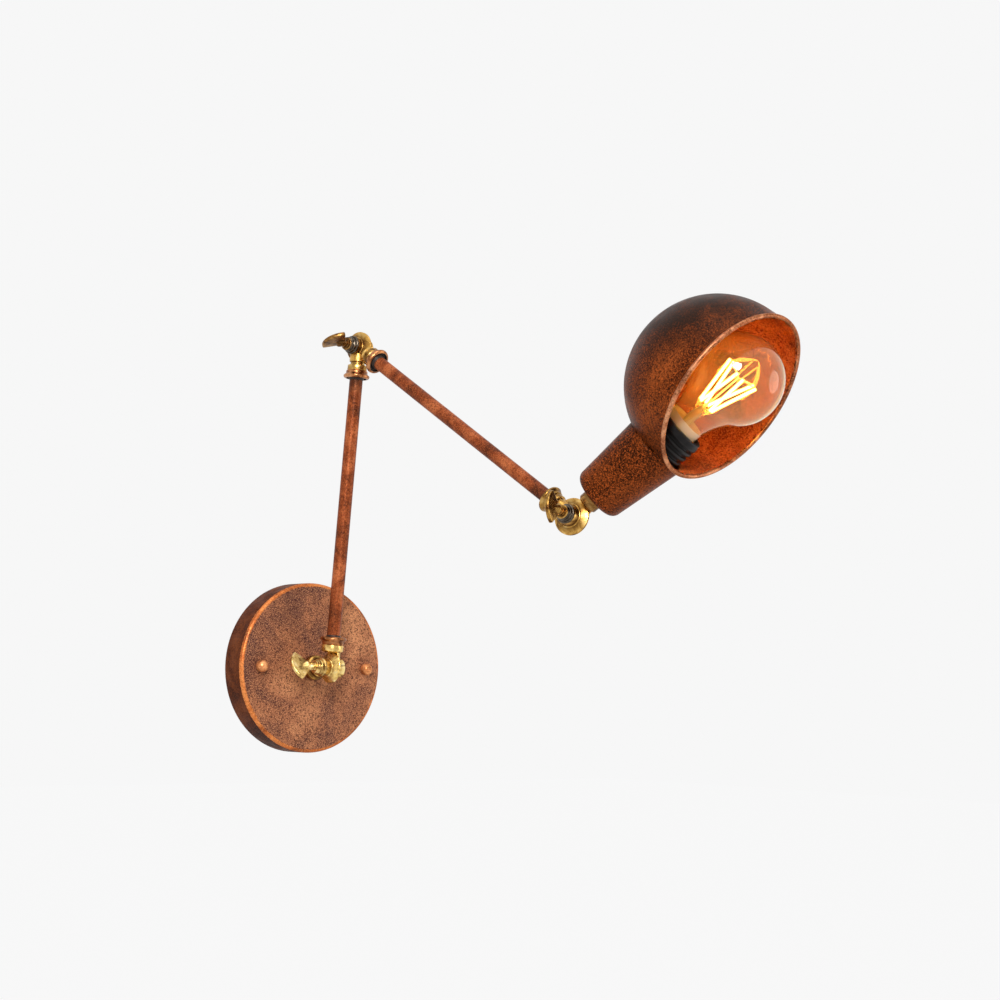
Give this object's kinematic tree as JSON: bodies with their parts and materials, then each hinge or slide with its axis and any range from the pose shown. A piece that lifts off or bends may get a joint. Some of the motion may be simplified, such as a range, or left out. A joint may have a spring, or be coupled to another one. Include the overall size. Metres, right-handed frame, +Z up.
{
  "type": "wall lamp",
  "caption": "Swing-arm wall lamp: round backplate, folding rods on clamp knuckles with wing screws, tapered lamp cup entering a domed shade, clear filament bulb.",
  "frame": {"origin": "centre of the backplate's back rim, in the plane of the wall", "axes": "+Y into the wall, +Z up, +X to the right along the wall; the lamp stands out along -Y"},
  "size_m": [0.2079, 0.3723, 0.2977],
  "materials": {
    "rust_copper": "aged copper rust paint, satin",
    "antique_brass": "antique brass, satin",
    "bright_brass": "worn brass, polished edges",
    "dark_steel": "blackened steel",
    "zinc_steel": "zinc plated",
    "black_plastic": "moulded black plastic",
    "white_plastic": "moulded terminal plastic",
    "ceramic": "glazed ceramic",
    "fibre": "vulcanised fibre",
    "nickel": "nickel plated",
    "contact_brass": "bare brass",
    "clear_glass": "warm tinted clear glass",
    "stem_glass": "clear glass",
    "filament": "yellow phosphor sticks",
    "lead_wire": "drawn wire",
    "wire_sleeve": "insulated core"
  },
  "bodies": {
    "wall_mount": {"backplate": "rust_copper", "mounting_bar": "zinc_steel", "plate_studs": "zinc_steel", "ball_nuts": "rust_copper", "earth_screw": "zinc_steel", "terminal_block": "white_plastic", "terminal_screws": "zinc_steel", "plate_nipple": "zinc_steel", "plate_washer": "zinc_steel", "plate_nut": "zinc_steel", "plate_wires": "wire_sleeve"},
    "base_turret": {"base_knuckle_fixed": "antique_brass", "base_collar": "antique_brass", "base_fibre_washer": "fibre", "base_clamp_washer": "bright_brass"},
    "arm_1": {"base_knuckle_moving": "antique_brass", "base_lock_ring": "antique_brass", "rod_1_lower_ferrule": "antique_brass", "rod_1": "rust_copper", "rod_1_wires": "wire_sleeve", "rod_1_upper_ferrule": "antique_brass", "elbow_lower_ring": "antique_brass", "elbow_knuckle_lower": "antique_brass", "elbow_fibre_washer": "fibre", "elbow_clamp_washer": "dark_steel"},
    "base_wing": {"base_wing_screw": "bright_brass"},
    "arm_2": {"elbow_knuckle_upper": "antique_brass", "elbow_upper_ring": "antique_brass", "rod_2_upper_ferrule": "antique_brass", "rod_2": "rust_copper", "rod_2_wires": "wire_sleeve", "rod_2_lower_ferrule": "antique_brass"},
    "elbow_wing": {"elbow_wing_screw": "bright_brass"},
    "wrist": {"head_knuckle_rod_side": "antique_brass", "head_fibre_washer": "fibre", "head_clamp_washer": "dark_steel", "head_lock_ring": "antique_brass"},
    "head": {"head_knuckle_cup_side": "antique_brass", "cup_collar": "antique_brass", "lamp_cup": "rust_copper", "cup_nut": "zinc_steel", "shade": "rust_copper", "holder_back": "black_plastic", "holder_body": "black_plastic", "holder_insert": "ceramic", "head_wires": "wire_sleeve", "screw_shell": "contact_brass", "contact_tongue": "contact_brass", "bulb_glass": "clear_glass", "bulb_cap": "nickel", "bulb_cap_insulator": "black_plastic", "bulb_tip_contact": "lead_wire", "bulb_stem": "stem_glass", "filament_sticks": "filament", "filament_wires": "lead_wire"},
    "head_wing": {"head_wing_screw": "bright_brass"}
  },
  "joints": [
    {"name": "base_swivel", "type": "hinge", "parent": "wall_mount", "child": "base_turret", "pos_m": [0, -0.02, 0], "axis": [0, -1, 0], "range_deg": [-90, 90]},
    {"name": "base_tilt", "type": "hinge", "parent": "base_turret", "child": "arm_1", "pos_m": [0, -0.042, 0], "axis": [0.9994, 0, -0.0349], "range_deg": [-7, 100]},
    {"name": "base_wing_turn", "type": "hinge", "parent": "arm_1", "child": "base_wing", "pos_m": [0, -0.042, 0], "axis": [-0.9994, 0, 0.0349], "range_deg": [-180, 0]},
    {"name": "elbow_fold", "type": "hinge", "parent": "arm_1", "child": "arm_2", "pos_m": [0.00795, -0.05314, 0.22759], "axis": [0.9753, 0.2196, -0.0233], "range_deg": [-120, 0]},
    {"name": "elbow_wing_turn", "type": "hinge", "parent": "arm_2", "child": "elbow_wing", "pos_m": [0.00795, -0.05314, 0.22759], "axis": [-0.9753, -0.2196, 0.0233], "range_deg": [-180, 0]},
    {"name": "head_swivel", "type": "hinge", "parent": "arm_2", "child": "wrist", "pos_m": [0.04636, -0.23739, 0.09891], "axis": [0.1684, -0.8081, -0.5644], "range_deg": [-90, 90]},
    {"name": "head_tilt", "type": "hinge", "parent": "wrist", "child": "head", "pos_m": [0.04636, -0.23739, 0.09891], "axis": [0.9425, 0.2997, -0.1479], "range_deg": [-35, 120]},
    {"name": "head_wing_turn", "type": "hinge", "parent": "head", "child": "head_wing", "pos_m": [0.04636, -0.23739, 0.09891], "axis": [-0.9425, -0.2997, 0.1479], "range_deg": [-180, 0]}
  ]
}
